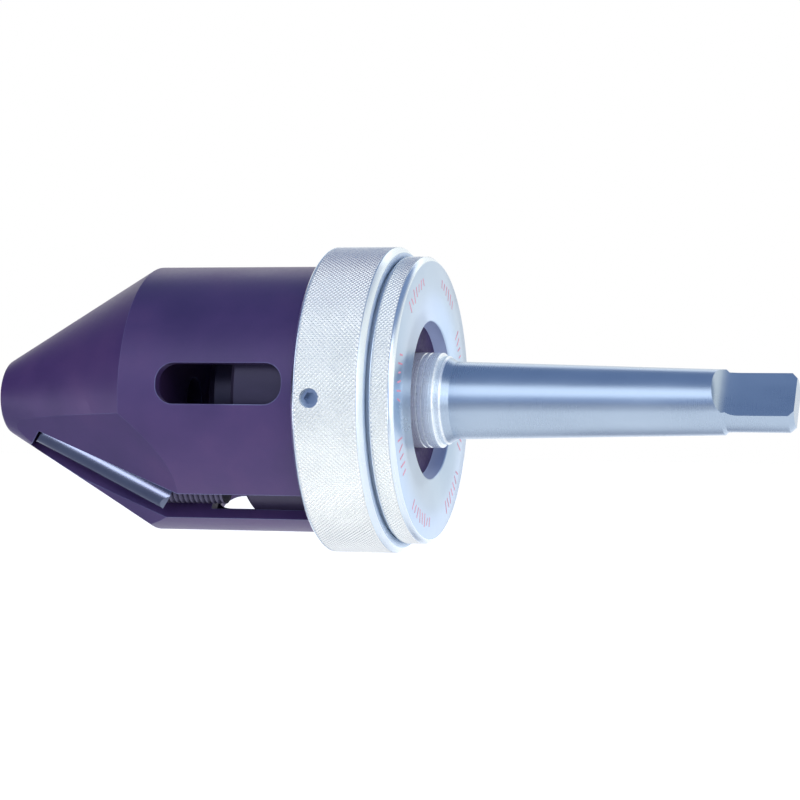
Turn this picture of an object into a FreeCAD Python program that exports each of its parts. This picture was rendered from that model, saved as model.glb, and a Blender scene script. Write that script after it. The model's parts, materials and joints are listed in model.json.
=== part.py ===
import FreeCAD, Part
import math
import os
from FreeCAD import Vector

# Live centre, millimetres.  The axis of rotation is X, the nose points to -X and the
# tang to +X.  X = 0 is the gauge plane of the No. 2 Morse taper.  Angles round the
# axis are measured from -Y (0 degrees) towards +Z (90 degrees).

# Morse taper shank
GAUGE_RADIUS = 8.89
TAPER_PER_MM = 0.024975
TAPER_FRONT_X = -3.3
TANG_START_X = 59.0
TANG_END_X = 75.0
TANG_RADIUS = 6.75
TANG_THICKNESS = 6.3
TANG_FLAT_LENGTH = 12.5
TANG_RUNOUT_RADIUS = 6.0
TANG_ANGLE = 38.0

# Arbor inside the head
COLLAR_STEP_RADIUS = 10.25
COLLAR_STEP_X = -5.4
COLLAR_X = -6.6
COLLAR_GROOVES_X = (-8.9, -10.2)
SEAL_LAND_RADIUS = 11.0
SHOULDER_RADIUS = 13.0
SHOULDER_REAR_X = -18.9
REAR_JOURNAL_RADIUS = 10.0
FRONT_JOURNAL_RADIUS = 8.5
THREAD_ROOT_X = -50.0
ARBOR_FRONT_X = -56.0

# Bearings: width runs forward from rear_x
REAR_BEARING = dict(rear_x=-20.5, width=14.0, bore=10.0, outer=23.5, pitch=16.75,
                    ball=3.97, balls=10, inner_land=14.4, outer_land=19.1)
FRONT_BEARING = dict(rear_x=-36.9, width=12.0, bore=8.5, outer=20.0, pitch=14.25,
                     ball=3.375, balls=8, inner_land=12.2, outer_land=16.4)
BALL_CLEARANCE = 0.05
POCKET_CLEARANCE = 0.08

# Head
HOUSING_FRONT_X = -49.3
HOUSING_REAR_X = -16.5
REGISTER_RADIUS = 28.35
HOUSING_SHOULDER_X = -22.5
HOUSING_THREAD_RADIUS = 32.4
SPIGOT_RADIUS = 27.0
COVER_RADIUS = 33.25
COVER_REAR_X = -9.5
COVER_FRONT_X = -15.1
COVER_HUB_RADIUS = 32.1
RECESS_RADIUS = 18.2
RECESS_FLOOR_X = -12.8
SEAL_BORE_RADIUS = 17.5
SEAL_SEAT_X = -17.8
SEAL_WEB_FRONT_X = -18.6
COVER_BORE_RADIUS = 14.0
RING_RADIUS = 35.5
RING_REAR_X = -16.0
RING_FRONT_X = -32.6
RING_BORE_RADIUS = 31.1
GRUB_X = -28.2
GRUB_RADIUS = 2.2
GRUB_FIRST_ANGLE = 2.0

# Nose
SKIRT_RADIUS = 31.0
SKIRT_BORE_RADIUS = 28.4
SKIRT_REAR_X = -22.6
CONE_BASE_X = -75.3
CONE_TIP_X = -114.3
CONE_TIP_RADIUS = 8.5
TIP_ROUNDING = 1.6
CAVITY_FRONT_X = -68.0
WINDOW_ANGLES = (8.0, 124.0, -120.0)
WINDOW_FRONT_X = -66.2
WINDOW_REAR_X = -36.2
WINDOW_WIDTH = 9.4
WINDOW_CORNER_RADIUS = 4.2
SLOT_ANGLE = -52.5
SLOT_WIDTH = 9.7
SLOT_REAR_X = -28.0
SLOT_CORNER_RADIUS = 3.3
FACET_ANGLE = -38.0
FACET_SLOPE = 0.43
FACET_REAR_X = -63.6

# Grip bar lying in the nose slot
BAR_RADIUS = 4.7
BAR_FRONT_X = -105.0
BAR_REAR_X = -68.5
BAR_END_SKEW = 3.2
BAR_END_GAP = 0.9
BAR_BASE_OFFSET = 22.5
BAR_SLOPE = 0.51
CLAMP_SCREW_RADIUS = 4.0
CLAMP_SCREW_OFFSET = 25.0
CLAMP_SCREW_FRONT_X = -73.0
CLAMP_SCREW_REAR_X = -54.5
THREAD_PITCH = 1.25
LUG_REAR_X = -59.0

ORIGIN = Vector(0, 0, 0)
AXIS = Vector(1, 0, 0)


def revolved(points):
    """Closed ring or disc from (x, radius) points, turned about the axis."""
    corners = [Vector(x, 0, radius) for x, radius in points]
    return Part.Face(Part.makePolygon(corners + corners[:1])).revolve(ORIGIN, AXIS, 360)


def disc(x0, x1, radius):
    return Part.makeCylinder(radius, abs(x1 - x0), Vector(min(x0, x1), 0, 0), AXIS)


def tube(x0, x1, inner, outer):
    return revolved([(x0, inner), (x1, inner), (x1, outer), (x0, outer)])


def at_angle(shape, angle):
    """Copy of a shape built on the -Y side, carried round the axis to an angle."""
    moved = shape.copy()
    moved.rotate(ORIGIN, AXIS, -angle)
    return moved


def axial_rod(x0, x1, offset, radius, angle):
    rod = Part.makeCylinder(radius, abs(x1 - x0), Vector(min(x0, x1), -offset, 0), AXIS)
    return at_angle(rod, angle)


def radial_rod(x, inner, outer, radius, angle):
    rod = Part.makeCylinder(radius, outer - inner, Vector(x, -inner, 0), Vector(0, -1, 0))
    return at_angle(rod, angle)


def hex_prism_axial(x0, x1, offset, across_flats, angle):
    corner = across_flats / math.sqrt(3)
    corners = []
    for step in range(7):
        turn = math.radians(60 * step)
        corners.append(Vector(x0, -offset + corner * math.cos(turn), corner * math.sin(turn)))
    prism = Part.Face(Part.makePolygon(corners)).extrude(Vector(x1 - x0, 0, 0))
    return at_angle(prism, angle)


def hex_prism_radial(x, inner, outer, across_flats, angle):
    corner = across_flats / math.sqrt(3)
    corners = []
    for step in range(7):
        turn = math.radians(60 * step)
        corners.append(Vector(x + corner * math.cos(turn), -inner, corner * math.sin(turn)))
    prism = Part.Face(Part.makePolygon(corners)).extrude(Vector(0, inner - outer, 0))
    return at_angle(prism, angle)


def spread(first, count):
    return [first + 360.0 * step / count for step in range(count)]


def joined(solids):
    return solids[0].multiFuse(solids[1:]).removeSplitter() if len(solids) > 1 else solids[0]


def taper_radius(x):
    return GAUGE_RADIUS - TAPER_PER_MM * x


def make_arbor():
    land = SEAL_LAND_RADIUS
    body = revolved([
        (TANG_END_X, 0),
        (TANG_END_X, TANG_RADIUS - 1.2),
        (TANG_END_X - 1.2, TANG_RADIUS),
        (TANG_START_X + 0.7, TANG_RADIUS),
        (TANG_START_X, taper_radius(TANG_START_X)),
        (TAPER_FRONT_X, taper_radius(TAPER_FRONT_X)),
        (COLLAR_STEP_X, COLLAR_STEP_RADIUS - 0.15),
        (COLLAR_STEP_X, COLLAR_STEP_RADIUS),
        (COLLAR_X, COLLAR_STEP_RADIUS),
        (COLLAR_X, land - 0.25),
        (COLLAR_X - 0.25, land),
        *[(x - dx, land - depth) for x in COLLAR_GROOVES_X
          for dx, depth in ((0, 0), (0.12, 0.2), (0.32, 0.2), (0.44, 0))],
        (SHOULDER_REAR_X, land),
        (SHOULDER_REAR_X, SHOULDER_RADIUS),
        (REAR_BEARING["rear_x"], SHOULDER_RADIUS),
        (REAR_BEARING["rear_x"], REAR_JOURNAL_RADIUS),
        (FRONT_BEARING["rear_x"] + 0.1, REAR_JOURNAL_RADIUS),
        (FRONT_BEARING["rear_x"] + 0.1, FRONT_JOURNAL_RADIUS),
        (ARBOR_FRONT_X + 0.8, FRONT_JOURNAL_RADIUS),
        (ARBOR_FRONT_X, FRONT_JOURNAL_RADIUS - 0.8),
        (ARBOR_FRONT_X, 0),
    ])
    half = TANG_THICKNESS / 2
    full_flat_x = TANG_END_X - TANG_FLAT_LENGTH
    for side in (0, 180):
        flat = Part.makeBox(TANG_END_X - full_flat_x + 2, 10, 30,
                            Vector(full_flat_x, -half - 10, -15))
        runout = Part.makeCylinder(TANG_RUNOUT_RADIUS, 30,
                                   Vector(full_flat_x, -half - TANG_RUNOUT_RADIUS, -15),
                                   Vector(0, 0, 1))
        body = body.cut(at_angle(flat.fuse(runout), TANG_ANGLE + side))
    return body.cut(washer_keyway())


def washer_keyway():
    return at_angle(Part.makeBox(8.3, 3, 3, Vector(ARBOR_FRONT_X - 1, -9.5, -1.5)), 90)


def make_inner_race(bearing):
    rear = bearing["rear_x"]
    front = rear - bearing["width"]
    ring = chamfered_tube(front, rear, bearing["bore"], bearing["inner_land"])
    return ring.cut(ball_groove(bearing))


def chamfered_tube(x0, x1, inner, outer, chamfer=0.4):
    return revolved([
        (x0, inner),
        (x1, inner),
        (x1, outer - chamfer),
        (x1 - chamfer, outer),
        (x0 + chamfer, outer),
        (x0, outer - chamfer),
    ])


def ball_groove(bearing):
    middle = bearing["rear_x"] - bearing["width"] / 2
    return Part.makeTorus(bearing["pitch"], bearing["ball"] + BALL_CLEARANCE,
                          Vector(middle, 0, 0), AXIS)


def make_outer_race(bearing, relieved_radius):
    rear = bearing["rear_x"]
    front = rear - bearing["width"]
    middle = (rear + front) / 2
    land = bearing["outer_land"]
    outer = bearing["outer"]
    ring = revolved([
        (front, land),
        (middle, land),
        (rear - 2.6, relieved_radius),
        (rear, relieved_radius),
        (rear, outer - 0.5),
        (rear - 0.5, outer),
        (front + 0.5, outer),
        (front, outer - 0.5),
    ])
    return ring.cut(ball_groove(bearing))


def make_balls(bearing):
    middle = bearing["rear_x"] - bearing["width"] / 2
    ball = Part.makeSphere(bearing["ball"], Vector(middle, -bearing["pitch"], 0))
    return Part.makeCompound([at_angle(ball, turn) for turn in spread(0, bearing["balls"])])


def make_cage(bearing):
    middle = bearing["rear_x"] - bearing["width"] / 2
    half_width = bearing["ball"] + 1.2
    inner = bearing["inner_land"] + 0.7
    outer = bearing["outer_land"] - 0.7
    ring = tube(middle - half_width, middle + half_width, inner, outer)
    pocket = bearing["ball"] + POCKET_CLEARANCE
    for turn in spread(0, bearing["balls"]):
        ring = ring.cut(radial_rod(middle, inner - 3, outer + 3, pocket, turn))
    return ring


def make_spacer():
    rear = REAR_BEARING["rear_x"] - REAR_BEARING["width"]
    return tube(FRONT_BEARING["rear_x"], rear, REAR_JOURNAL_RADIUS, 12.0)


def make_lock_washer():
    rear = FRONT_BEARING["rear_x"] - FRONT_BEARING["width"]
    ring = tube(THREAD_ROOT_X, rear, FRONT_JOURNAL_RADIUS, 12.2)
    tongue = at_angle(Part.makeBox(rear - THREAD_ROOT_X, 2.4, 2.8,
                                   Vector(THREAD_ROOT_X, -9.3, -1.4)), 90)
    tab = at_angle(Part.makeBox(3.0, 1.0, 3.4, Vector(THREAD_ROOT_X - 2.4, -14.9, -1.7)), 0)
    arm = at_angle(Part.makeBox(rear - THREAD_ROOT_X, 3.4, 3.4,
                                Vector(THREAD_ROOT_X, -14.9, -1.7)), 0)
    return joined([ring, tongue, tab, arm])


def make_locknut():
    nut = chamfered_tube(THREAD_ROOT_X - 5.0, THREAD_ROOT_X, FRONT_JOURNAL_RADIUS, 14.0, 0.8)
    for turn in spread(0, 4):
        nut = nut.cut(at_angle(Part.makeBox(8, 2.2, 4.0,
                                            Vector(THREAD_ROOT_X - 6.5, -14.8, -2.0)), turn))
    return nut


def make_housing():
    rear_seat = REAR_BEARING["rear_x"]
    web_rear = rear_seat - REAR_BEARING["width"]
    web_front = FRONT_BEARING["rear_x"]
    body = revolved([
        (HOUSING_REAR_X, SPIGOT_RADIUS),
        (HOUSING_REAR_X, HOUSING_THREAD_RADIUS - 0.5),
        (HOUSING_REAR_X - 0.5, HOUSING_THREAD_RADIUS),
        (HOUSING_SHOULDER_X, HOUSING_THREAD_RADIUS),
        (HOUSING_SHOULDER_X, REGISTER_RADIUS),
        (HOUSING_FRONT_X + 1.0, REGISTER_RADIUS),
        (HOUSING_FRONT_X, REGISTER_RADIUS - 1.0),
        (HOUSING_FRONT_X, FRONT_BEARING["outer"]),
        (web_front, FRONT_BEARING["outer"]),
        (web_front, 15.5),
        (web_rear, 15.5),
        (web_rear, REAR_BEARING["outer"]),
        (rear_seat, REAR_BEARING["outer"]),
        (rear_seat, SPIGOT_RADIUS),
    ])
    for turn in cap_screw_angles():
        body = body.cut(axial_rod(HOUSING_FRONT_X - 1, HOUSING_FRONT_X + 8.5, 22.2, 1.5, turn))
    return body.cut(make_dowel())


def make_rear_cover():
    rear = COVER_REAR_X
    body = revolved([
        (rear, RECESS_RADIUS + 0.4),
        (rear, COVER_RADIUS - 1.0),
        (rear - 1.0, COVER_RADIUS),
        (COVER_FRONT_X + 0.3, COVER_RADIUS),
        (COVER_FRONT_X, COVER_RADIUS - 0.3),
        (COVER_FRONT_X, COVER_HUB_RADIUS),
        (HOUSING_REAR_X, COVER_HUB_RADIUS),
        (HOUSING_REAR_X, 29.7),
        (HOUSING_REAR_X + 1.6, 29.7),
        (HOUSING_REAR_X + 1.6, 27.9),
        (HOUSING_REAR_X, 27.9),
        (HOUSING_REAR_X, SPIGOT_RADIUS),
        (REAR_BEARING["rear_x"], SPIGOT_RADIUS),
        (REAR_BEARING["rear_x"], 20.6),
        (SEAL_WEB_FRONT_X, 20.6),
        (SEAL_WEB_FRONT_X, COVER_BORE_RADIUS),
        (SEAL_SEAT_X, COVER_BORE_RADIUS),
        (SEAL_SEAT_X, SEAL_BORE_RADIUS),
        (RECESS_FLOOR_X, SEAL_BORE_RADIUS),
        (RECESS_FLOOR_X, RECESS_RADIUS),
        (rear - 0.4, RECESS_RADIUS),
    ])
    return body


def make_o_ring():
    return Part.makeTorus(28.8, 0.8, Vector(HOUSING_REAR_X + 0.8, 0, 0), AXIS)


def make_seal_case():
    rear = RECESS_FLOOR_X - 0.5
    front = SEAL_SEAT_X
    return revolved([
        (rear, 12.8),
        (rear, SEAL_BORE_RADIUS),
        (front, SEAL_BORE_RADIUS),
        (front, 16.3),
        (rear - 1.1, 16.3),
        (rear - 1.1, 12.8),
    ])


def make_seal_lip():
    face = RECESS_FLOOR_X
    back = face - 0.5
    land = SEAL_LAND_RADIUS
    return revolved([
        (face, land + 0.9),
        (face, SEAL_BORE_RADIUS),
        (back, SEAL_BORE_RADIUS),
        (back, 12.8),
        (back - 1.1, 12.8),
        (face - 2.6, land + 1.1),
        (face - 3.0, land + 1.5),
        (face - 4.2, land + 1.5),
        (face - 4.2, land + 0.8),
        (face - 3.5, land + 0.06),
        (face - 3.2, land + 0.06),
        (face - 1.4, land + 0.6),
        (face - 0.9, land + 0.12),
        (face - 0.4, land + 0.12),
    ])


def make_garter_spring():
    return Part.makeTorus(SEAL_LAND_RADIUS + 2.05, 0.55, Vector(RECESS_FLOOR_X - 3.7, 0, 0), AXIS)


def grub_angles():
    return spread(GRUB_FIRST_ANGLE, 3)


def make_clamp_ring():
    body = revolved([
        (RING_REAR_X, HOUSING_THREAD_RADIUS),
        (RING_REAR_X, RING_RADIUS - 1.3),
        (RING_REAR_X - 1.3, RING_RADIUS),
        (RING_FRONT_X + 0.8, RING_RADIUS),
        (RING_FRONT_X, RING_RADIUS - 0.8),
        (RING_FRONT_X, RING_BORE_RADIUS + 0.3),
        (RING_FRONT_X + 0.3, RING_BORE_RADIUS),
        (HOUSING_SHOULDER_X, RING_BORE_RADIUS),
        (HOUSING_SHOULDER_X, HOUSING_THREAD_RADIUS),
    ])
    for turn in grub_angles():
        body = body.cut(radial_rod(GRUB_X, 28, 40, GRUB_RADIUS, turn))
    return body


def make_grub_screws():
    screws = []
    for turn in grub_angles():
        thread = radial_rod(GRUB_X, 31.6, 34.3, GRUB_RADIUS, turn)
        point = radial_rod(GRUB_X, 30.0, 31.6, 1.4, turn)
        socket = hex_prism_radial(GRUB_X, 32.4, 35.0, 2.5, turn)
        screws.append(thread.fuse(point).cut(socket))
    return Part.makeCompound(screws)


def make_dowel():
    return axial_rod(-25.4, -19.8, 29.5, 0.9, 150)


def bar_direction():
    return Vector(1, -BAR_SLOPE, 0)


def bar_axis_point(x):
    """Point of the bar's axis before it is carried round to the slot."""
    return Vector(x, -(BAR_BASE_OFFSET + BAR_SLOPE * (x - CONE_BASE_X)), 0)


def bar_rod(x0, x1, radius):
    length = (x1 - x0) * bar_direction().Length
    return Part.makeCylinder(radius, length, bar_axis_point(x0), bar_direction())


def skew_wedge(x, toward):
    """Everything beyond a slanted plane across the slot; toward is -1 for forward."""
    half = SLOT_WIDTH / 2
    far = x + toward * 60
    corners = [
        Vector(x + BAR_END_SKEW, 0, half),
        Vector(x - BAR_END_SKEW, 0, -half),
        Vector(far, 0, -half),
        Vector(far, 0, half),
    ]
    return Part.Face(Part.makePolygon(corners + corners[:1])).extrude(Vector(0, -60, 0))


def bar_channel():
    """U-shaped channel round the bar, open outwards, with a slanted front end."""
    half = SLOT_WIDTH / 2
    front = BAR_FRONT_X - BAR_END_GAP
    near = bar_axis_point(front - BAR_END_SKEW)
    far = bar_axis_point(BAR_REAR_X + BAR_END_SKEW)
    rod = bar_rod(near.x, far.x, half)
    corners = [
        Vector(near.x, near.y, -half),
        Vector(far.x, far.y, -half),
        Vector(far.x, -60, -half),
        Vector(near.x, -60, -half),
    ]
    mouth = Part.Face(Part.makePolygon(corners + corners[:1])).extrude(Vector(0, 0, SLOT_WIDTH))
    channel = rod.fuse(mouth).cut(skew_wedge(front, -1))
    return at_angle(channel, SLOT_ANGLE)


def skirt_slot():
    """Slot through the skirt behind the bar, with rounded rear corners."""
    half = SLOT_WIDTH / 2
    front = BAR_REAR_X + BAR_END_SKEW - 1
    box = Part.makeBox(SLOT_REAR_X - front, 35, SLOT_WIDTH, Vector(front, -60, -half))
    corners = [edge for edge in box.Edges
               if abs(edge.Vertexes[0].X - SLOT_REAR_X) < 0.01
               and abs(edge.Vertexes[1].X - SLOT_REAR_X) < 0.01
               and abs(edge.Vertexes[0].Z - edge.Vertexes[1].Z) < 0.01]
    return at_angle(box.makeFillet(SLOT_CORNER_RADIUS, corners), SLOT_ANGLE)


def window_cutter():
    half = WINDOW_WIDTH / 2
    length = WINDOW_REAR_X - WINDOW_FRONT_X
    box = Part.makeBox(length, 20, WINDOW_WIDTH, Vector(WINDOW_FRONT_X, -40, -half))
    radial = [edge for edge in box.Edges
              if abs(edge.Vertexes[0].X - edge.Vertexes[1].X) < 0.01
              and abs(edge.Vertexes[0].Z - edge.Vertexes[1].Z) < 0.01]
    return box.makeFillet(WINDOW_CORNER_RADIUS, radial)


def facet_cutter():
    """Wedge that mills the slanted flat beside the slot."""
    front = CONE_TIP_X - 5
    floor_front = SKIRT_RADIUS - FACET_SLOPE * (FACET_REAR_X - front)
    corners = [
        Vector(FACET_REAR_X, -SKIRT_RADIUS, -40),
        Vector(front, -floor_front, -40),
        Vector(front, -60, -40),
        Vector(FACET_REAR_X, -60, -40),
    ]
    wedge = Part.Face(Part.makePolygon(corners + corners[:1])).extrude(Vector(0, 0, 80))
    return at_angle(wedge, FACET_ANGLE)


def make_nose():
    body = revolved([
        (CONE_TIP_X, 0),
        (CONE_TIP_X, CONE_TIP_RADIUS),
        (CONE_BASE_X, SKIRT_RADIUS),
        (SKIRT_REAR_X, SKIRT_RADIUS),
        (SKIRT_REAR_X, 0),
    ])
    tip_edges = [edge for edge in body.Edges
                 if abs(edge.BoundBox.XMin - CONE_TIP_X) < 0.01
                 and abs(edge.BoundBox.XMax - CONE_TIP_X) < 0.01]
    body = body.makeFillet(TIP_ROUNDING, tip_edges)
    body = body.cut(revolved([
        (SKIRT_REAR_X + 1, 0),
        (SKIRT_REAR_X + 1, SKIRT_BORE_RADIUS),
        (CAVITY_FRONT_X + 2, SKIRT_BORE_RADIUS),
        (CAVITY_FRONT_X, SKIRT_BORE_RADIUS - 2),
        (CAVITY_FRONT_X, 5.0),
        (CAVITY_FRONT_X - 14, 5.0),
        (CAVITY_FRONT_X - 17, 0),
    ]))
    lug = Part.makeBox(LUG_REAR_X - CAVITY_FRONT_X + 1, 12, 16, Vector(CAVITY_FRONT_X - 1, -30, -8))
    lug = at_angle(lug, SLOT_ANGLE).common(disc(CAVITY_FRONT_X - 1, LUG_REAR_X, 29.5))
    body = body.fuse(lug)
    body = body.cut(facet_cutter())
    body = body.cut(bar_channel())
    body = body.cut(skirt_slot())
    body = body.cut(axial_rod(CLAMP_SCREW_FRONT_X, LUG_REAR_X + 1, CLAMP_SCREW_OFFSET,
                              CLAMP_SCREW_RADIUS, SLOT_ANGLE))
    for angle in WINDOW_ANGLES:
        body = body.cut(at_angle(window_cutter(), angle))
    for turn in grub_angles():
        body = body.cut(radial_rod(GRUB_X, 30.0, 33.0, 1.4, turn))
    centre_hole = revolved([
        (CONE_TIP_X, 0),
        (CONE_TIP_X, 2.5),
        (CONE_TIP_X + 2.2, 1.25),
        (CONE_TIP_X + 6.0, 1.25),
        (CONE_TIP_X + 6.7, 0),
    ])
    return body.cut(centre_hole).cut(make_dowel()).removeSplitter()


def make_grip_bar():
    reach = BAR_END_SKEW + 1
    bar = bar_rod(BAR_FRONT_X - reach, BAR_REAR_X + reach, BAR_RADIUS)
    bar = bar.cut(skew_wedge(BAR_FRONT_X, -1)).cut(skew_wedge(BAR_REAR_X, 1))
    bar = bar.common(disc(CONE_TIP_X, LUG_REAR_X, SKIRT_RADIUS - 0.3))
    return at_angle(bar, SLOT_ANGLE)


def make_clamp_screw():
    """Threaded stud whose slanted front end bears on the bar's rear end."""
    screw = Part.makeCylinder(CLAMP_SCREW_RADIUS, CLAMP_SCREW_REAR_X - CLAMP_SCREW_FRONT_X,
                              Vector(CLAMP_SCREW_FRONT_X, -CLAMP_SCREW_OFFSET, 0), AXIS)
    screw = screw.cut(skew_wedge(BAR_REAR_X, -1))
    x = CLAMP_SCREW_FRONT_X + THREAD_PITCH
    while x < CLAMP_SCREW_REAR_X - THREAD_PITCH / 2:
        groove = revolved([
            (x - 0.45, CLAMP_SCREW_RADIUS + 0.05),
            (x, CLAMP_SCREW_RADIUS - 0.5),
            (x + 0.45, CLAMP_SCREW_RADIUS + 0.05),
        ])
        groove.translate(Vector(0, -CLAMP_SCREW_OFFSET, 0))
        screw = screw.cut(groove)
        x += THREAD_PITCH
    socket = hex_prism_axial(CLAMP_SCREW_REAR_X - 4.0, CLAMP_SCREW_REAR_X + 1,
                             CLAMP_SCREW_OFFSET, 4.0, 0)
    return at_angle(screw.cut(socket), SLOT_ANGLE)


def cap_screw_angles():
    return spread(-20.0, 3)


def make_cap_flange(x0, x1, inner):
    lobes = [axial_rod(x0, x1, 22.2, 3.2, turn) for turn in cap_screw_angles()]
    plate = joined([disc(x0, x1, 21.2)] + lobes).cut(disc(x0 - 1, x1 + 1, inner))
    for turn in cap_screw_angles():
        plate = plate.cut(axial_rod(x0 - 1, x1 + 1, 22.2, 1.6, turn))
    return plate


def make_cap_gasket():
    return make_cap_flange(HOUSING_FRONT_X - 0.3, HOUSING_FRONT_X, 17.0)


def make_front_cap():
    back = HOUSING_FRONT_X - 0.3
    flange = make_cap_flange(back - 1.8, back, 17.0)
    dome = revolved([
        (back, 17.0),
        (back, 19.0),
        (-56.2, 19.0),
        (-58.2, 17.0),
        (-58.2, 0),
        (-56.8, 0),
        (-56.8, 16.0),
        (-55.8, 17.0),
    ])
    return joined([flange, dome])


def make_cap_screws():
    seat = HOUSING_FRONT_X - 0.3 - 1.8
    screws = []
    for turn in cap_screw_angles():
        head = axial_rod(seat - 2.6, seat, 22.2, 2.7, turn)
        shank = axial_rod(seat, HOUSING_FRONT_X + 7.5, 22.2, 1.5, turn)
        socket = hex_prism_axial(seat - 3.0, seat - 1.2, 22.2, 2.5, turn)
        screws.append(head.fuse(shank).cut(socket))
    return Part.makeCompound(screws)


NODES = {
    "arbor": make_arbor(),
    "rear_bearing_inner_race": make_inner_race(REAR_BEARING),
    "rear_bearing_outer_race": make_outer_race(REAR_BEARING, 20.4),
    "rear_bearing_balls": make_balls(REAR_BEARING),
    "rear_bearing_cage": make_cage(REAR_BEARING),
    "front_bearing_inner_race": make_inner_race(FRONT_BEARING),
    "front_bearing_outer_race": make_outer_race(FRONT_BEARING, FRONT_BEARING["outer_land"]),
    "front_bearing_balls": make_balls(FRONT_BEARING),
    "front_bearing_cage": make_cage(FRONT_BEARING),
    "inner_race_spacer": make_spacer(),
    "lock_washer": make_lock_washer(),
    "bearing_locknut": make_locknut(),
    "bearing_housing": make_housing(),
    "rear_cover": make_rear_cover(),
    "cover_o_ring": make_o_ring(),
    "shaft_seal_case": make_seal_case(),
    "shaft_seal_lip": make_seal_lip(),
    "seal_garter_spring": make_garter_spring(),
    "knurled_clamp_ring": make_clamp_ring(),
    "clamp_ring_grub_screws": make_grub_screws(),
    "nose_locating_dowel": make_dowel(),
    "nose_cone": make_nose(),
    "grip_bar": make_grip_bar(),
    "grip_bar_clamp_screw": make_clamp_screw(),
    "front_cap": make_front_cap(),
    "front_cap_gasket": make_cap_gasket(),
    "front_cap_screws": make_cap_screws(),
}

os.makedirs("parts", exist_ok=True)
for name, shape in NODES.items():
    shape.exportStep("parts/" + name + ".step")
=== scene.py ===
import json
import math
import random
import bpy
import bmesh
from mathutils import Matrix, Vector


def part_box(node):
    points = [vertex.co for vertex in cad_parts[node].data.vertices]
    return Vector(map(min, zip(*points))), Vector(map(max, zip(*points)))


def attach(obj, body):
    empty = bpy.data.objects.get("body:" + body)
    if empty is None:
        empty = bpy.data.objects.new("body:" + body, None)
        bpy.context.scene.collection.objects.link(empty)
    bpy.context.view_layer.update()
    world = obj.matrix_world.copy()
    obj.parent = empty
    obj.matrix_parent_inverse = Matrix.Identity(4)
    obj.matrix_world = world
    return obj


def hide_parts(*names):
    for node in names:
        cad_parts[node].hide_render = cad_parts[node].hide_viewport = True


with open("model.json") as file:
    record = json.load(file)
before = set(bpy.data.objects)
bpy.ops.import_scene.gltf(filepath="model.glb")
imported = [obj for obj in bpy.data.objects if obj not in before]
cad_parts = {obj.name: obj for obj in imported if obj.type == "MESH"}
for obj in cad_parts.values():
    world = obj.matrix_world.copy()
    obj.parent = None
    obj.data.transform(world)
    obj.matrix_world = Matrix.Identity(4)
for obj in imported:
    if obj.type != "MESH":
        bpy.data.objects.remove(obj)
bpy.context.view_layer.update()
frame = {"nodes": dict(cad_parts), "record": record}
nodes = frame["nodes"]

# Metres.  The live center turns about X and its nose points to -X.  Angles round the axis are
# measured from -Y, positive towards +Z, as in the CAD.
MM = 0.001

# Clamp ring
RING_LOW, RING_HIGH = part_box("knurled_clamp_ring")
RING_FRONT_X = RING_LOW.x
RING_REAR_X = RING_HIGH.x
RING_RADIUS = RING_HIGH.z
RING_BORE_RADIUS = 31.1 * MM
RING_THREAD_RADIUS = 32.4 * MM
RING_THREAD_FRONT_X = -22.5 * MM
RING_BORE_CHAMFER = 0.3 * MM
RING_FRONT_CHAMFER = 0.8 * MM
RING_REAR_CHAMFER = 1.3 * MM
GRUB_X = -28.2 * MM
GRUB_RADIUS = 2.2 * MM
GRUB_FIRST_ANGLE = 2.0
GRUB_COUNT = 3

# Rear cover
COVER_LOW, COVER_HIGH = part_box("rear_cover")
COVER_RADIUS = 33.25 * MM
COVER_REAR_X = COVER_HIGH.x
COVER_REAR_CHAMFER = 1.0 * MM
COVER_FRONT_X = -15.1 * MM
COVER_FRONT_CHAMFER = 0.3 * MM
COVER_KNURL_REAR_X = -10.7 * MM
COVER_HUB_RADIUS = 32.1 * MM
COVER_BORE_RADIUS = 14.0 * MM
HOUSING_REAR_X = -16.5 * MM
SPIGOT_RADIUS = 27.0 * MM
BEARING_SEAT_RADIUS = 20.6 * MM
O_RING_GROOVE_FLOOR_X = -14.9 * MM
O_RING_GROOVE_INNER_RADIUS = 27.9 * MM
O_RING_GROOVE_OUTER_RADIUS = 29.7 * MM
SEAL_BORE_RADIUS = 17.5 * MM
SEAL_SEAT_X = -17.8 * MM
SEAL_WEB_FRONT_X = -18.6 * MM
RECESS_RADIUS = 18.2 * MM
RECESS_FLOOR_X = -12.8 * MM
RECESS_CHAMFER = 0.4 * MM

# Knurl: the height of a diamond in equal steps from its groove to its crest
KNURL_DEPTH = 0.24 * MM
KNURL_PITCH = 1.05 * MM
KNURL_PROFILE = (0.0, 0.78, 1.0)
KNURL_STEPS = 2 * (len(KNURL_PROFILE) - 1)
KNURL_EDGE_HEIGHT = 0.25
EDGE_ROUND = 0.15 * MM

# Red marks on the rear face, in groups of (middle angle, how many, radius)
MARK_GROUPS = (
    (118, 6, 28.2 * MM), (62, 7, 28.2 * MM), (152, 4, 26.4 * MM), (-128, 7, 28.2 * MM),
    (-70, 8, 28.2 * MM), (-25, 5, 28.2 * MM), (12, 6, 28.2 * MM), (-160, 4, 26.4 * MM),
)
MARK_STEP = 4.2
MARK_LEAN = 0.8
MARK_WIDTH = 0.42 * MM
MARK_HEIGHT = 3.6 * MM
MARK_SHORTEST = 0.45
MARK_THICKNESS = 0.03 * MM
MARK_SEED = 7

# The arbor is ground rear of this; in front of it the collar is painted near-white, a painted reflection,
# and is less metallic
COLLAR_X = -5.0 * MM


def polar(x, radius, angle):
    return Vector((x, -radius * math.cos(angle), radius * math.sin(angle)))


def axis_distance(point):
    return math.hypot(point.y, point.z)


# ---------------------------------------------------------------- meshes

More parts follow.
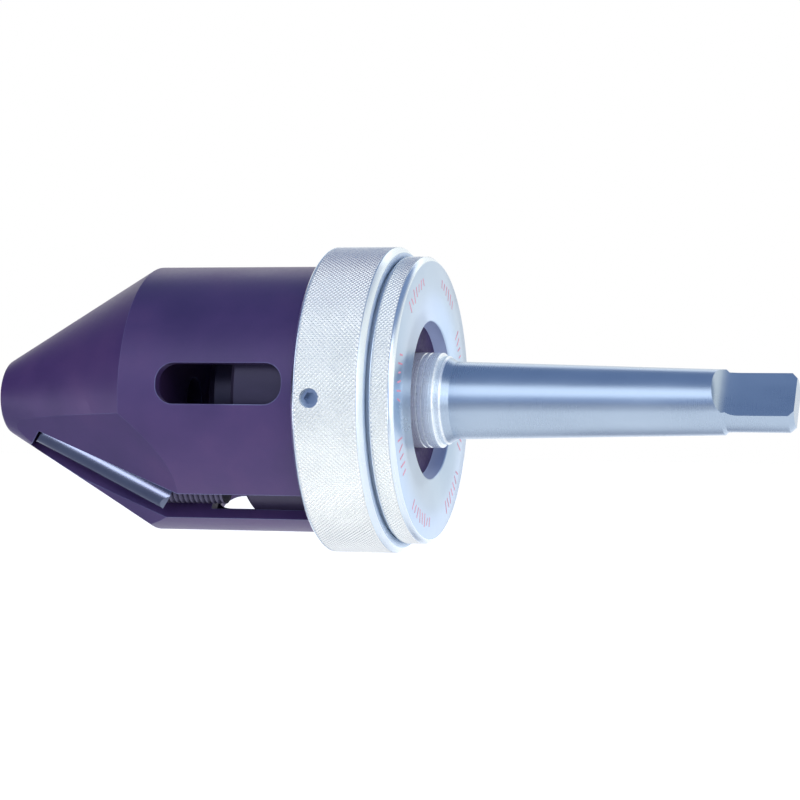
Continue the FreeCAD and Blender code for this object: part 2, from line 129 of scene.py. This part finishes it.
def knurl_height(first, second):
    """Height of a diamond, 0 in the grooves and 1 on its crest."""
    def rise(value):
        steps = abs(value - round(value)) * KNURL_STEPS
        low = int(steps)
        share = steps - low
        high = min(low + 1, len(KNURL_PROFILE) - 1)
        return KNURL_PROFILE[low] * (1 - share) + KNURL_PROFILE[high] * share
    return min(rise(first), rise(second))


def ring_mesh(before, band, after):
    """Ring turned from two outlines of (x, radius) with a knurled band between them.

    band is (x0, x1, radius); before ends and after starts at the band's edges.  Turned
    faces are smooth and knurled faces are flat."""
    x0, x1, radius = band
    columns = round(2 * math.pi * radius / KNURL_PITCH) * KNURL_STEPS
    rows = round((x1 - x0) / KNURL_PITCH) * KNURL_STEPS
    mesh = bmesh.new()

    def circle(x, r):
        return [mesh.verts.new(polar(x, r, 2 * math.pi * k / columns)) for k in range(columns)]

    def knurled(row, offset):
        made = []
        for k in range(columns):
            a = (k + offset) / KNURL_STEPS
            b = (row + offset) / KNURL_STEPS
            x = x0 + (x1 - x0) * (row + offset) / rows
            from_edge = min(row + offset, rows - row - offset) / 2
            fade = min(1.0, KNURL_EDGE_HEIGHT + from_edge * (1 - KNURL_EDGE_HEIGHT))
            height = knurl_height(a + b, a - b) * fade
            made.append(mesh.verts.new(
                polar(x, radius - KNURL_DEPTH * (1 - height), 2 * math.pi * (k + offset) / columns)))
        return made

    def bridge(low, high):
        for k in range(columns):
            n = (k + 1) % columns
            mesh.faces.new((low[k], low[n], high[n], high[k])).smooth = True

    front = [circle(x, r) for x, r in before]
    grid = [knurled(row, 0) for row in range(rows + 1)]
    centres = [knurled(row, 0.5) for row in range(rows)]
    rear = [circle(x, r) for x, r in after]
    chain = front + [grid[0]]
    for low, high in zip(chain, chain[1:]):
        bridge(low, high)
    for low, high, middle in zip(grid, grid[1:], centres):
        for k in range(columns):
            n = (k + 1) % columns
            corners = (low[k], low[n], high[n], high[k])
            for i in range(4):
                mesh.faces.new((corners[i], corners[(i + 1) % 4], middle[k]))
    chain = [grid[-1]] + rear
    for low, high in zip(chain, chain[1:]):
        bridge(low, high)
    bridge(rear[-1], front[0])
    return mesh


def drill_radial(mesh, x, angle, radius, outer, inner):
    """Round radial hole through a ring: faces inside it go, its rim is made round and walled."""
    outward = polar(0, 1, angle)
    side = Vector((0, math.sin(angle), math.cos(angle)))
    middle_depth = (outer + inner) / 2
    rim_reach = radius * 1.6

    def from_hole_axis(point):
        return Vector((point.x - x, point.dot(side)))

    doomed = []
    for face in mesh.faces:
        centre = face.calc_center_median()
        if centre.dot(outward) > middle_depth and from_hole_axis(centre).length < radius:
            doomed.append(face)
    bmesh.ops.delete(mesh, geom=doomed, context="FACES")
    rim = [edge for edge in mesh.edges if edge.is_boundary
           and (edge.verts[0].co - polar(x, outer, angle)).length < rim_reach]
    for vert in {v for edge in rim for v in edge.verts}:
        at = from_hole_axis(vert.co)
        at *= radius / at.length
        vert.co = outward * vert.co.dot(outward) + side * at.y + Vector((x + at.x, 0, 0))
    wall = bmesh.ops.extrude_edge_only(mesh, edges=rim)["geom"]
    for vert in [item for item in wall if isinstance(item, bmesh.types.BMVert)]:
        vert.co -= outward * (vert.co.dot(outward) - inner)


def finished(mesh, name):
    bmesh.ops.recalc_face_normals(mesh, faces=mesh.faces)
    data = bpy.data.meshes.new(name)
    mesh.to_mesh(data)
    mesh.free()
    obj = bpy.data.objects.new(name, data)
    bpy.context.scene.collection.objects.link(obj)
    return obj


def make_clamp_ring():
    radius = RING_RADIUS
    front, rear = RING_FRONT_X, RING_REAR_X
    knurl_front = front + RING_FRONT_CHAMFER
    knurl_rear = rear - RING_REAR_CHAMFER
    soft = EDGE_ROUND
    before = [
        (RING_THREAD_FRONT_X, RING_BORE_RADIUS),
        (front + RING_BORE_CHAMFER, RING_BORE_RADIUS),
        (front, RING_BORE_RADIUS + RING_BORE_CHAMFER),
        (front, radius - RING_FRONT_CHAMFER - soft),
        (front + 0.3 * soft, radius - RING_FRONT_CHAMFER - 0.3 * soft),
        (knurl_front - soft, radius - soft),
        (knurl_front, radius - 0.4 * soft),
    ]
    after = [
        (knurl_rear, radius - 0.3 * soft),
        (knurl_rear + 0.6 * soft, radius - soft),
        (rear - 0.3 * soft, radius - RING_REAR_CHAMFER),
        (rear, radius - RING_REAR_CHAMFER - soft),
        (rear, RING_THREAD_RADIUS),
        (RING_THREAD_FRONT_X, RING_THREAD_RADIUS),
    ]
    mesh = ring_mesh(before, (knurl_front, knurl_rear, radius), after)
    for step in range(GRUB_COUNT):
        angle = math.radians(GRUB_FIRST_ANGLE + step * 360 / GRUB_COUNT)
        drill_radial(mesh, GRUB_X, angle, GRUB_RADIUS, radius, RING_BORE_RADIUS)
    return finished(mesh, "clamp_ring_knurled")


def make_cover():
    radius = COVER_RADIUS
    front, rear = COVER_FRONT_X, COVER_REAR_X
    knurl_front = front + COVER_FRONT_CHAMFER
    soft = EDGE_ROUND
    before = [
        (SEAL_WEB_FRONT_X, COVER_BORE_RADIUS),
        (SEAL_WEB_FRONT_X, BEARING_SEAT_RADIUS),
        (COVER_LOW.x, BEARING_SEAT_RADIUS),
        (COVER_LOW.x, SPIGOT_RADIUS),
        (HOUSING_REAR_X, SPIGOT_RADIUS),
        (HOUSING_REAR_X, O_RING_GROOVE_INNER_RADIUS),
        (O_RING_GROOVE_FLOOR_X, O_RING_GROOVE_INNER_RADIUS),
        (O_RING_GROOVE_FLOOR_X, O_RING_GROOVE_OUTER_RADIUS),
        (HOUSING_REAR_X, O_RING_GROOVE_OUTER_RADIUS),
        (HOUSING_REAR_X, COVER_HUB_RADIUS),
        (front, COVER_HUB_RADIUS),
        (front, radius - COVER_FRONT_CHAMFER),
        (knurl_front, radius - 0.2 * soft),
    ]
    after = [
        (COVER_KNURL_REAR_X, radius - 0.3 * soft),
        (rear - COVER_REAR_CHAMFER, radius - 0.3 * soft),
        (rear - 0.5 * soft, radius - COVER_REAR_CHAMFER + 0.5 * soft),
        (rear, radius - COVER_REAR_CHAMFER - 0.5 * soft),
        (rear, RECESS_RADIUS + RECESS_CHAMFER),
        (rear - RECESS_CHAMFER, RECESS_RADIUS),
        (RECESS_FLOOR_X, RECESS_RADIUS),
        (RECESS_FLOOR_X, SEAL_BORE_RADIUS),
        (SEAL_SEAT_X, SEAL_BORE_RADIUS),
        (SEAL_SEAT_X, COVER_BORE_RADIUS),
    ]
    mesh = ring_mesh(before, (knurl_front, COVER_KNURL_REAR_X, radius), after)
    return finished(mesh, "rear_cover_knurled")


def make_marks():
    """Generic red marks in small groups round the rear face."""
    mesh = bmesh.new()
    chance = random.Random(MARK_SEED)
    for middle, count, radius in MARK_GROUPS:
        half = MARK_WIDTH / 2 / radius
        for k in range(count):
            angle = math.radians(middle + MARK_STEP * (k - (count - 1) / 2))
            lean = math.radians(chance.uniform(-MARK_LEAN, MARK_LEAN))
            length = MARK_HEIGHT * chance.uniform(MARK_SHORTEST, 1.0)
            outline = [(-half - lean, -length / 2), (half - lean, -length / 2),
                       (half + lean, length / 2), (-half + lean, length / 2)]
            low, high = [[mesh.verts.new(polar(COVER_REAR_X + dx, radius + rise, angle + turn))
                          for turn, rise in outline] for dx in (0, MARK_THICKNESS)]
            mesh.faces.new(low)
            mesh.faces.new(high)
            for i in range(4):
                n = (i + 1) % 4
                mesh.faces.new((low[i], low[n], high[n], high[i]))
    return finished(mesh, "rear_face_marks")


clamp_ring = make_clamp_ring()
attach(clamp_ring, "head")
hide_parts("knurled_clamp_ring")

cover = make_cover()
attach(cover, "head")
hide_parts("rear_cover")

marks = make_marks()
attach(marks, "head")


# ---------------------------------------------------------------- materials

class Nodes:
    """Short names for the nodes that the materials and the world share."""

    def __init__(self, tree):
        self.tree = tree

    def node(self, kind, **settings):
        made = self.tree.nodes.new(kind)
        for key, value in settings.items():
            setattr(made, key, value)
        return made

    def link(self, source, target):
        self.tree.links.new(source, target)

    def separate(self, vector):
        made = self.node("ShaderNodeSeparateXYZ")
        self.link(vector, made.inputs[0])
        return made.outputs

    def ramp(self, source, low, high, start=0.0, stop=1.0, shape="LINEAR"):
        made = self.node("ShaderNodeMapRange", interpolation_type=shape)
        made.inputs["From Min"].default_value = start
        made.inputs["From Max"].default_value = stop
        made.inputs["To Min"].default_value = low
        made.inputs["To Max"].default_value = high
        self.link(source, made.inputs["Value"])
        return made.outputs[0]

    def mix(self, share, low, high):
        made = self.node("ShaderNodeMix", data_type="RGBA")
        self.link(share, made.inputs["Factor"])
        sockets = [socket for socket in made.inputs if socket.type == "RGBA"]
        for socket, item in zip(sockets, (low, high)):
            if isinstance(item, tuple):
                socket.default_value = (*item, 1)
            else:
                self.link(item, socket)
        return [socket for socket in made.outputs if socket.type == "RGBA"][0]


class Shader(Nodes):
    """One procedural material on the Principled shader."""

    SOCKETS = {"color": "Base Color", "metallic": "Metallic", "roughness": "Roughness",
               "glow": "Emission Strength"}

    def __init__(self, name, color, metallic, roughness):
        self.material = bpy.data.materials.new(name)
        self.material.use_nodes = True
        super().__init__(self.material.node_tree)
        self.principled = self.tree.nodes["Principled BSDF"]
        self.principled.inputs["Base Color"].default_value = (*color, 1)
        self.principled.inputs["Metallic"].default_value = metallic
        self.principled.inputs["Roughness"].default_value = roughness
        self.coordinates = self.tree.nodes.new("ShaderNodeTexCoord").outputs["Object"]

    def value(self, operation, first, second=None):
        made = self.node("ShaderNodeMath", operation=operation)
        for slot, item in zip(made.inputs, (first, second)):
            if isinstance(item, (int, float)):
                slot.default_value = item
            elif item is not None:
                self.link(item, slot)
        return made.outputs[0]

    def noise(self, scale, detail=4.0, stretch=(1, 1, 1)):
        mapping = self.node("ShaderNodeMapping")
        mapping.inputs["Scale"].default_value = stretch
        self.link(self.coordinates, mapping.inputs["Vector"])
        made = self.node("ShaderNodeTexNoise")
        made.inputs["Scale"].default_value = scale
        made.inputs["Detail"].default_value = detail
        self.link(mapping.outputs[0], made.inputs["Vector"])
        return made.outputs["Fac"]

    def color_ramp(self, source, *stops):
        made = self.node("ShaderNodeValToRGB")
        elements = made.color_ramp.elements
        while len(elements) < len(stops):
            elements.new(0.5)
        for element, (place, color) in zip(elements, stops):
            element.position = place
            element.color = (*color, 1)
        self.link(source, made.inputs["Fac"])
        return made.outputs["Color"]

    def turned_marks(self, pitch=0.12 * MM, evenness=250):
        """Fine rings left by turning or grinding, along X and nearly even round the axis."""
        place = self.separate(self.coordinates)
        squashed = self.node("ShaderNodeCombineXYZ")
        for axis, length in enumerate((pitch, pitch * evenness, pitch * evenness)):
            self.link(self.value("MULTIPLY", place[axis], 1 / length), squashed.inputs[axis])
        made = self.node("ShaderNodeTexNoise")
        made.inputs["Scale"].default_value = 1.0
        made.inputs["Detail"].default_value = 3.0
        self.link(squashed.outputs[0], made.inputs["Vector"])
        return made.outputs["Fac"]

    def sharp_edge_mask(self, width):
        """1 on sharp edges, fading to 0 within width of them."""
        rounded = self.node("ShaderNodeBevel", samples=4)
        rounded.inputs["Radius"].default_value = width
        straight = self.node("ShaderNodeNewGeometry").outputs["Normal"]
        agreement = self.node("ShaderNodeVectorMath", operation="DOT_PRODUCT")
        self.link(rounded.outputs[0], agreement.inputs[0])
        self.link(straight, agreement.inputs[1])
        return self.ramp(agreement.outputs["Value"], 1.0, 0.0, 0.80, 0.985)

    def bump(self, height, strength, distance):
        made = self.node("ShaderNodeBump")
        made.inputs["Strength"].default_value = strength
        made.inputs["Distance"].default_value = distance
        self.link(height, made.inputs["Height"])
        self.link(made.outputs[0], self.principled.inputs["Normal"])

    def set(self, **sources):
        for key, source in sources.items():
            self.link(source, self.principled.inputs[self.SOCKETS[key]])


def machined_roughness(shader, smear, rings, low, high):
    """Roughness that follows the smears of a wiped surface and the rings of the tool."""
    return shader.value("ADD", shader.ramp(smear, low, high, 0.3, 0.7),
                        shader.ramp(rings, -0.03, 0.05))


def steel(name, color, dark, roughness=0.24, spread=0.10, metallic=1.0, bump=0.05):
    shader = Shader(name, color, metallic, roughness)
    smear = shader.noise(90, 5, (0.35, 1, 1))
    rings = shader.turned_marks()
    shader.set(color=shader.color_ramp(smear, (0.3, dark), (0.7, color)),
               roughness=machined_roughness(shader, smear, rings, roughness, roughness + spread))
    shader.bump(rings, bump, 0.02 * MM)
    return shader.material


def ground_steel():
    """Ground taper, with the collar in front of it painted near-white as a painted reflection and less
    metallic.
    """
    pale, dark, collar_painted_reflection = (0.50, 0.60, 0.69), (0.42, 0.51, 0.60), (0.92, 0.97, 0.97)
    shader = Shader("ground_steel", pale, 1.0, 0.26)
    smear = shader.noise(90, 5, (0.35, 1, 1))
    rings = shader.turned_marks()
    along = shader.separate(shader.coordinates)[0]
    collar = shader.ramp(along, 1.0, 0.0, COLLAR_X - 0.1 * MM, COLLAR_X + 0.1 * MM)
    ground = shader.color_ramp(smear, (0.3, dark), (0.7, pale))
    # Painted reflection: the collar is mixed to near-white in place of the bright light it reflects
    shader.set(color=shader.mix(collar, ground, collar_painted_reflection),
               metallic=shader.ramp(collar, 1.0, 0.6),
               roughness=machined_roughness(shader, smear, rings, 0.24, 0.32))
    shader.bump(rings, 0.02, 0.02 * MM)
    return shader.material


def black_oxide():
    """Violet-black nose, cloudy, and paler on its edges: partly edge wear and partly a painted edge
    highlight.
    """
    shader = Shader("nose_black_oxide", (0.05, 0.04, 0.10), 0.25, 0.46)
    shader.principled.inputs["Specular IOR Level"].default_value = 0.6
    cloud = shader.noise(55, 6)
    fine = shader.noise(900, 3)
    rings = shader.turned_marks(0.16 * MM)
    body = shader.color_ramp(cloud, (0.30, (0.054, 0.030, 0.118)), (0.52, (0.070, 0.037, 0.138)),
                             (0.72, (0.090, 0.045, 0.150)))
    # Painted edge highlight, partly edge wear: sharp edges are mixed towards pale blue-grey
    edge_wear_and_highlight = shader.value("MULTIPLY", shader.sharp_edge_mask(0.45 * MM), shader.ramp(cloud, 0.25, 0.8, 0.4, 0.6))
    shader.set(color=shader.mix(edge_wear_and_highlight, body, (0.24, 0.30, 0.48)),
               roughness=shader.value("ADD", shader.ramp(cloud, 0.36, 0.46, 0.3, 0.7),
                                      shader.ramp(fine, -0.04, 0.04)))
    shader.bump(shader.value("ADD", rings, shader.value("MULTIPLY", fine, 0.5)), 0.10, 0.02 * MM)
    return shader.material


def satin_chrome():
    shader = Shader("satin_chrome_plate", (0.92, 0.92, 0.88), 0.85, 0.38)
    cloud = shader.noise(140, 4)
    fine = shader.noise(2500, 2)
    shader.set(color=shader.color_ramp(cloud, (0.3, (0.92, 0.93, 0.87)), (0.7, (0.97, 0.98, 0.92))),
               roughness=shader.value("ADD", shader.ramp(cloud, 0.34, 0.44, 0.3, 0.7),
                                      shader.ramp(fine, -0.03, 0.03)))
    shader.bump(fine, 0.08, 0.01 * MM)
    return shader.material


def moulded(name, color, roughness, grain=1200, bump=0.15):
    shader = Shader(name, color, 0.0, roughness)
    cloud = shader.noise(200, 4)
    fine = shader.noise(grain, 3)
    pale = tuple(min(1.0, c * 1.5 + 0.01) for c in color)
    shader.set(color=shader.color_ramp(cloud, (0.3, color), (0.75, pale)),
               roughness=shader.ramp(fine, roughness - 0.08, roughness + 0.08, 0.3, 0.7))
    shader.bump(fine, bump, 0.03 * MM)
    return shader.material


MATERIALS = {
    "ground_steel": ground_steel(),
    "satin_chrome": satin_chrome(),
    "black_oxide": black_oxide(),
    "polished_bar": steel("polished_bar", (0.15, 0.175, 0.25), (0.12, 0.13, 0.20), 0.20, 0.05),
    "bearing_steel": steel("bearing_steel", (0.62, 0.63, 0.66), (0.54, 0.55, 0.58), 0.15, 0.08),
    "ball_steel": steel("ball_steel", (0.80, 0.81, 0.83), (0.76, 0.77, 0.79), 0.06, 0.03, bump=0.0),
    "cage_brass": steel("cage_brass", (0.72, 0.52, 0.22), (0.60, 0.42, 0.16), 0.25, 0.12),
    "housing_steel": steel("housing_dark_steel", (0.045, 0.035, 0.075), (0.025, 0.02, 0.045),
                           0.34, 0.12, metallic=0.4),
    "seal_rubber": moulded("seal_rubber", (0.016, 0.004, 0.060), 0.7),
    "seal_steel": steel("seal_steel", (0.42, 0.43, 0.46), (0.34, 0.35, 0.38), 0.3, 0.1),
    "spring_steel": steel("spring_steel", (0.34, 0.42, 0.54), (0.26, 0.33, 0.44), 0.28, 0.1),
    "hardware_steel": steel("hardware_black", (0.07, 0.07, 0.085), (0.04, 0.04, 0.05),
                            0.38, 0.12, metallic=0.8),
    "screw_steel": steel("screw_dark", (0.13, 0.12, 0.18), (0.08, 0.07, 0.12), 0.36, 0.14),
    "gasket_fibre": moulded("gasket_fibre", (0.16, 0.20, 0.14), 0.8, grain=600, bump=0.4),
}

# Darker and paler copies of the rings' chrome for their turned faces, beside the chrome of their
# knurling: painted shade, painted light and painted highlights by place
# Painted shade and reflection: a darker blue-grey copy of the chrome
TURNED_FACE_PAINTED_SHADE = steel("turned_face_painted_shade", (0.56, 0.68, 0.80), (0.48, 0.60, 0.74), 0.26, 0.08)
# Painted shade in the rear recess
RECESS_PAINTED_SHADE = steel("recess_painted_shade", (0.34, 0.40, 0.58), (0.27, 0.31, 0.48), 0.42, 0.1, metallic=0.7)
# Painted light: a pale, nearly diffuse copy so that the gap between the rings reads light
GAP_PAINTED_LIGHT = steel("gap_painted_light", (0.72, 0.82, 0.92), (0.62, 0.74, 0.88), 0.5, 0.1, metallic=0.1)
# Painted highlight on the outer chamfers
CHAMFER_PAINTED_HIGHLIGHT = steel("chamfer_painted_highlight", (0.84, 0.92, 0.95), (0.78, 0.87, 0.92), 0.22, 0.08)


def dress(obj, *materials):
    obj.data.materials.clear()
    for material in materials:
        obj.data.materials.append(material)


def turned_face_painted_light(face, recess_radius):
    """Painted light or shade of a turned face by its place: painted shade in the recess, painted light in
    the gap between the rings, a painted highlight on an outer chamfer, or painted shade and reflection on
    the rest.
    """
    slack = 0.02 * MM
    radius = axis_distance(face.center)
    if radius < recess_radius:
        return RECESS_PAINTED_SHADE
    if RING_REAR_X - slack < face.center.x < COVER_FRONT_X + slack:
        return GAP_PAINTED_LIGHT
    if abs(face.normal.x) < 0.9 and radius > COVER_HUB_RADIUS:
        return CHAMFER_PAINTED_HIGHLIGHT
    return TURNED_FACE_PAINTED_SHADE


def dress_ring(obj, recess_radius=0.0):
    """Chrome on the knurling, and on each turned face the painted light and shade of its place."""
    chrome_and_painted_light = [MATERIALS["satin_chrome"], TURNED_FACE_PAINTED_SHADE, RECESS_PAINTED_SHADE, GAP_PAINTED_LIGHT, CHAMFER_PAINTED_HIGHLIGHT]
    dress(obj, *chrome_and_painted_light)
    for face in obj.data.polygons:
        if face.use_smooth:
            face.material_index = chrome_and_painted_light.index(turned_face_painted_light(face, recess_radius))


for part in frame["record"]["subparts"]:
    dress(nodes[part["node"]], MATERIALS[part["material_slot"]])
dress_ring(clamp_ring)
dress_ring(cover, RECESS_RADIUS + 0.1 * MM)
dress(marks, moulded("red_marking_paint", (0.62, 0.24, 0.32), 0.5))


# ---------------------------------------------------------------- stage and world

FLOOR_Z = -0.16
FLOOR_HALF = 3.0
FLOOR_BRIGHT = (0.94, 0.92, 0.89)
# Colour of the floor's painted shade and shadow
FLOOR_DIM = (0.60, 0.61, 0.65)
FLOOR_GLOW = 0.74

WHITE = (1.0, 1.0, 1.0)
FRONT_WALL = (0.36, 0.46, 0.72)
LEFT_WALL = (0.10, 0.06, 0.20)
CEILING = (0.20, 0.28, 0.48)


def pale_floor():
    """White glowing floor with painted shade: dimmer and glowing less left of the nose, in front of the
    part, and under and behind it, where the painted shade is a soft painted shadow.
    """
    shader = Shader("floor_white", (0.9, 0.9, 0.9), 0.0, 0.9)
    shader.principled.inputs["Emission Color"].default_value = (1.0, 0.98, 0.94, 1)
    place = shader.separate(shader.coordinates)
    nearer = shader.ramp(place[1], 1.0, 0.0, 0.12, 0.38)
    left = shader.value("MULTIPLY", shader.ramp(place[0], 1.0, 0.0, -0.25, -0.11), nearer)
    front = shader.ramp(place[1], 0.62, 0.0, -0.42, -0.16)
    along, across = [
        shader.ramp(shader.value("ABSOLUTE", shader.value("SUBTRACT", place[axis], middle)),
                    1.0, 0.0, 0.0, reach)
        for axis, (middle, reach) in enumerate(((0.01, 0.12), (0.12, 0.20)))]
    # Painted soft shadow under and behind the part
    under = shader.value("MULTIPLY", shader.value("MULTIPLY", along, across), 0.7)
    # Painted shade on the floor: 0 where it is white and glows fully
    dim = shader.value("MAXIMUM", shader.value("MAXIMUM", left, under),
                       shader.value("MAXIMUM", front, shader.ramp(nearer, 0.0, 0.22)))
    shader.set(color=shader.mix(dim, FLOOR_BRIGHT, FLOOR_DIM),
               glow=shader.ramp(dim, FLOOR_GLOW, 0.0, 0.0, 0.6),
               roughness=shader.ramp(shader.noise(3, 2), 0.85, 0.95))
    return shader.material


def make_floor():
    mesh = bmesh.new()
    corners = ((-1, -1), (1, -1), (1, 1), (-1, 1))
    mesh.faces.new([mesh.verts.new((x * FLOOR_HALF, y * FLOOR_HALF, FLOOR_Z)) for x, y in corners])
    floor = finished(mesh, "floor")
    dress(floor, pale_floor())
    return floor


def studio_world():
    """White room with a dim ceiling, a blue-grey front wall and a dark left wall."""
    world = bpy.data.worlds.new("studio")
    world.use_nodes = True
    room = Nodes(world.node_tree)
    background = room.tree.nodes["Background"]
    background.inputs["Strength"].default_value = 1.0
    direction = room.separate(room.node("ShaderNodeTexCoord").outputs["Generated"])

    def share(axis, start, stop):
        return room.ramp(direction[axis], 0.0, 1.0, start, stop, "SMOOTHSTEP")

    front = room.mix(share(1, -0.75, -0.25), FRONT_WALL, WHITE)
    walls = room.mix(share(0, -0.85, -0.55), LEFT_WALL, front)
    room.link(room.mix(share(2, 0.45, 0.80), walls, CEILING), background.inputs["Color"])
    return world


make_floor()
bpy.context.scene.world = studio_world()


# ---------------------------------------------------------------- lights and camera

# The lights and the camera look at this point of the axis
PIVOT = Vector((-17.3 * MM, 0, 0))
CAMERA_SENSOR_WIDTH = 36
CAMERA_LENS = 130.5
CAMERA_AZIMUTH = 16.1
CAMERA_ELEVATION = 1.5
CAMERA_DISTANCE = 0.673


def toward(azimuth, elevation):
    """Direction from the head; azimuth 0 is the -Y side and 90 the tang's end.

    Elevation 90 is up, and more than 90 leans over to the far side."""
    turn, rise = math.radians(azimuth), math.radians(elevation)
    return Vector((math.sin(turn) * math.cos(rise), -math.cos(turn) * math.cos(rise), math.sin(rise)))


def aimed(data, name, azimuth, elevation, distance):
    """Light or camera that looks at the head."""
    away = toward(azimuth, elevation)
    obj = bpy.data.objects.new(name, data)
    obj.location = PIVOT + away * distance
    obj.rotation_euler = away.to_track_quat("Z", "Y").to_euler()
    bpy.context.scene.collection.objects.link(obj)
    return obj


def soft_light(name, azimuth, elevation, distance, size, radiance):
    data = bpy.data.lights.new(name, "AREA")
    data.shape = "RECTANGLE"
    data.size, data.size_y = size
    data.energy = radiance * size[0] * size[1] * math.pi
    aimed(data, name, azimuth, elevation, distance)


soft_light("key_softbox", 12, 33, 1.0, (1.6, 0.60), 1.1)
soft_light("overhead_back", 0, 140, 1.2, (1.2, 0.4), 0.6)
soft_light("front_left_strip", -56, -6, 0.75, (0.45, 0.16), 6.0)
soft_light("right_softbox", 58, 2, 1.0, (0.7, 0.6), 1.2)

camera_data = bpy.data.cameras.new("camera")
camera_data.sensor_width = CAMERA_SENSOR_WIDTH
camera_data.lens = CAMERA_LENS
camera_data.clip_start = 0.01
bpy.context.scene.camera = aimed(camera_data, "camera", CAMERA_AZIMUTH, CAMERA_ELEVATION, CAMERA_DISTANCE)
bpy.context.scene.view_settings.view_transform = "Standard"
